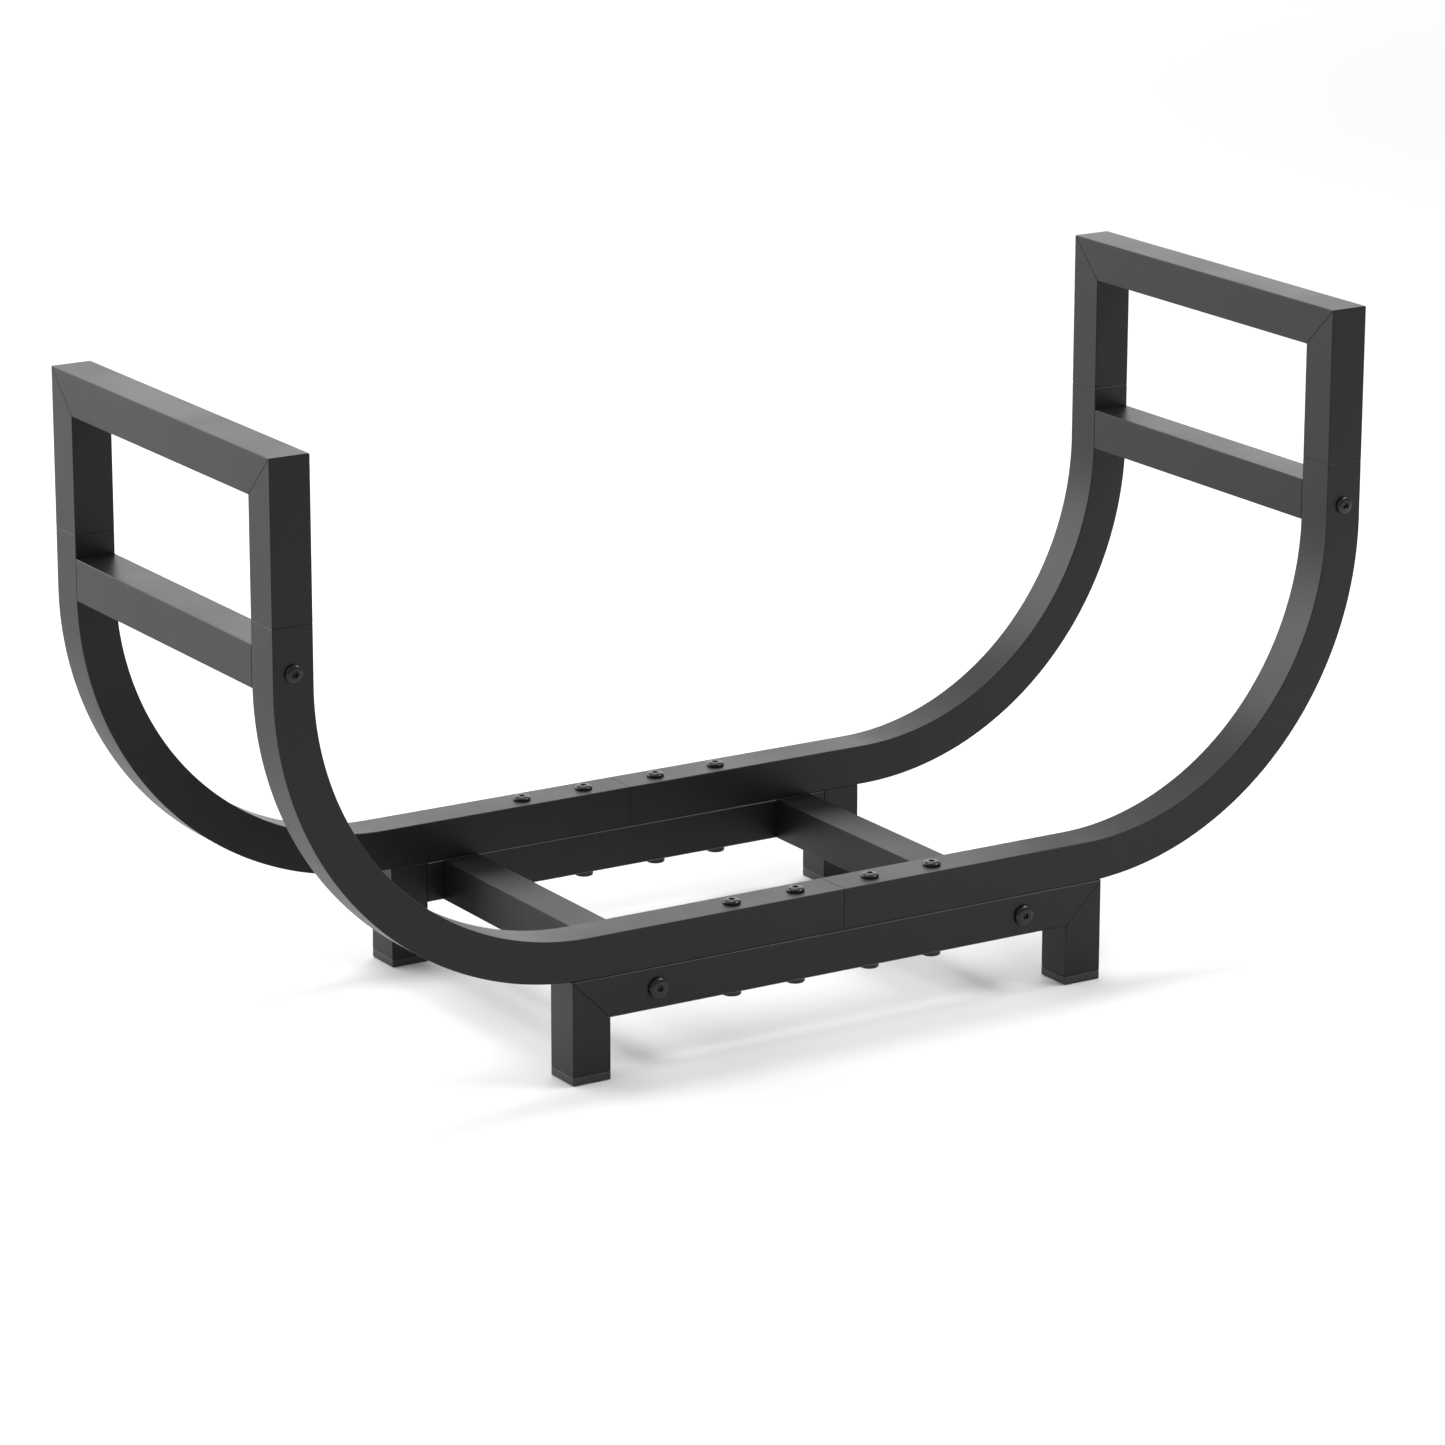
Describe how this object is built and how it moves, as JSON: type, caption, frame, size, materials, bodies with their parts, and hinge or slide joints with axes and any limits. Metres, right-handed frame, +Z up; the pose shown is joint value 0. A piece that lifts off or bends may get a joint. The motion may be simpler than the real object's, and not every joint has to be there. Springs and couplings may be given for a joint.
{
  "type": "firewood log rack",
  "caption": "Free-standing cradle of bent square steel tube on low legs, with a mitred carrying frame at each end, for a small stack of firewood.",
  "frame": {"origin": "centre of the footprint, on the floor", "axes": "+X along the rack towards its right end, +Y from the front cradle tubes to the rear ones, +Z up"},
  "size_m": [0.89, 0.3264, 0.47],
  "materials": {
    "powder_coated_steel": "satin dark charcoal powder coat with a fine texture",
    "blackened_fasteners": "black oxide, semi-gloss",
    "foot_cap_plastic": "moulded black plastic",
    "zinc_plated_inserts": "dull zinc plate, hidden inside the tubes"
  },
  "bodies": {
    "root": {"cradle_tube_front_left": "powder_coated_steel", "handle_post_front_left": "powder_coated_steel", "handle_sleeve_front_left": "zinc_plated_inserts", "base_leg_front_left": "powder_coated_steel", "foot_cap_front_left": "foot_cap_plastic", "upper_end_plug_front_left": "zinc_plated_inserts", "lower_end_plug_front_left": "zinc_plated_inserts", "upper_side_bolt_front_left": "blackened_fasteners", "lower_side_bolt_front_left": "blackened_fasteners", "cradle_tube_front_right": "powder_coated_steel", "handle_post_front_right": "powder_coated_steel", "handle_sleeve_front_right": "zinc_plated_inserts", "base_leg_front_right": "powder_coated_steel", "foot_cap_front_right": "foot_cap_plastic", "upper_end_plug_front_right": "zinc_plated_inserts", "lower_end_plug_front_right": "zinc_plated_inserts", "upper_side_bolt_front_right": "blackened_fasteners", "lower_side_bolt_front_right": "blackened_fasteners", "base_rail_front": "powder_coated_steel", "rail_bolt_front_1": "blackened_fasteners", "rail_nut_front_1": "blackened_fasteners", "rail_bolt_front_2": "blackened_fasteners", "rail_nut_front_2": "blackened_fasteners", "rail_bolt_front_3": "blackened_fasteners", "rail_nut_front_3": "blackened_fasteners", "rail_bolt_front_4": "blackened_fasteners", "rail_nut_front_4": "blackened_fasteners", "cradle_tube_rear_left": "powder_coated_steel", "handle_post_rear_left": "powder_coated_steel", "handle_sleeve_rear_left": "zinc_plated_inserts", "base_leg_rear_left": "powder_coated_steel", "foot_cap_rear_left": "foot_cap_plastic", "upper_end_plug_rear_left": "zinc_plated_inserts", "lower_end_plug_rear_left": "zinc_plated_inserts", "upper_side_bolt_rear_left": "blackened_fasteners", "lower_side_bolt_rear_left": "blackened_fasteners", "cradle_tube_rear_right": "powder_coated_steel", "handle_post_rear_right": "powder_coated_steel", "handle_sleeve_rear_right": "zinc_plated_inserts", "base_leg_rear_right": "powder_coated_steel", "foot_cap_rear_right": "foot_cap_plastic", "upper_end_plug_rear_right": "zinc_plated_inserts", "lower_end_plug_rear_right": "zinc_plated_inserts", "upper_side_bolt_rear_right": "blackened_fasteners", "lower_side_bolt_rear_right": "blackened_fasteners", "base_rail_rear": "powder_coated_steel", "rail_bolt_rear_1": "blackened_fasteners", "rail_nut_rear_1": "blackened_fasteners", "rail_bolt_rear_2": "blackened_fasteners", "rail_nut_rear_2": "blackened_fasteners", "rail_bolt_rear_3": "blackened_fasteners", "rail_nut_rear_3": "blackened_fasteners", "rail_bolt_rear_4": "blackened_fasteners", "rail_nut_rear_4": "blackened_fasteners", "handle_bar_left": "powder_coated_steel", "upper_crossbar_left": "powder_coated_steel", "lower_crossbar_left": "powder_coated_steel", "handle_bar_right": "powder_coated_steel", "upper_crossbar_right": "powder_coated_steel", "lower_crossbar_right": "powder_coated_steel"}
  },
  "joints": []
}
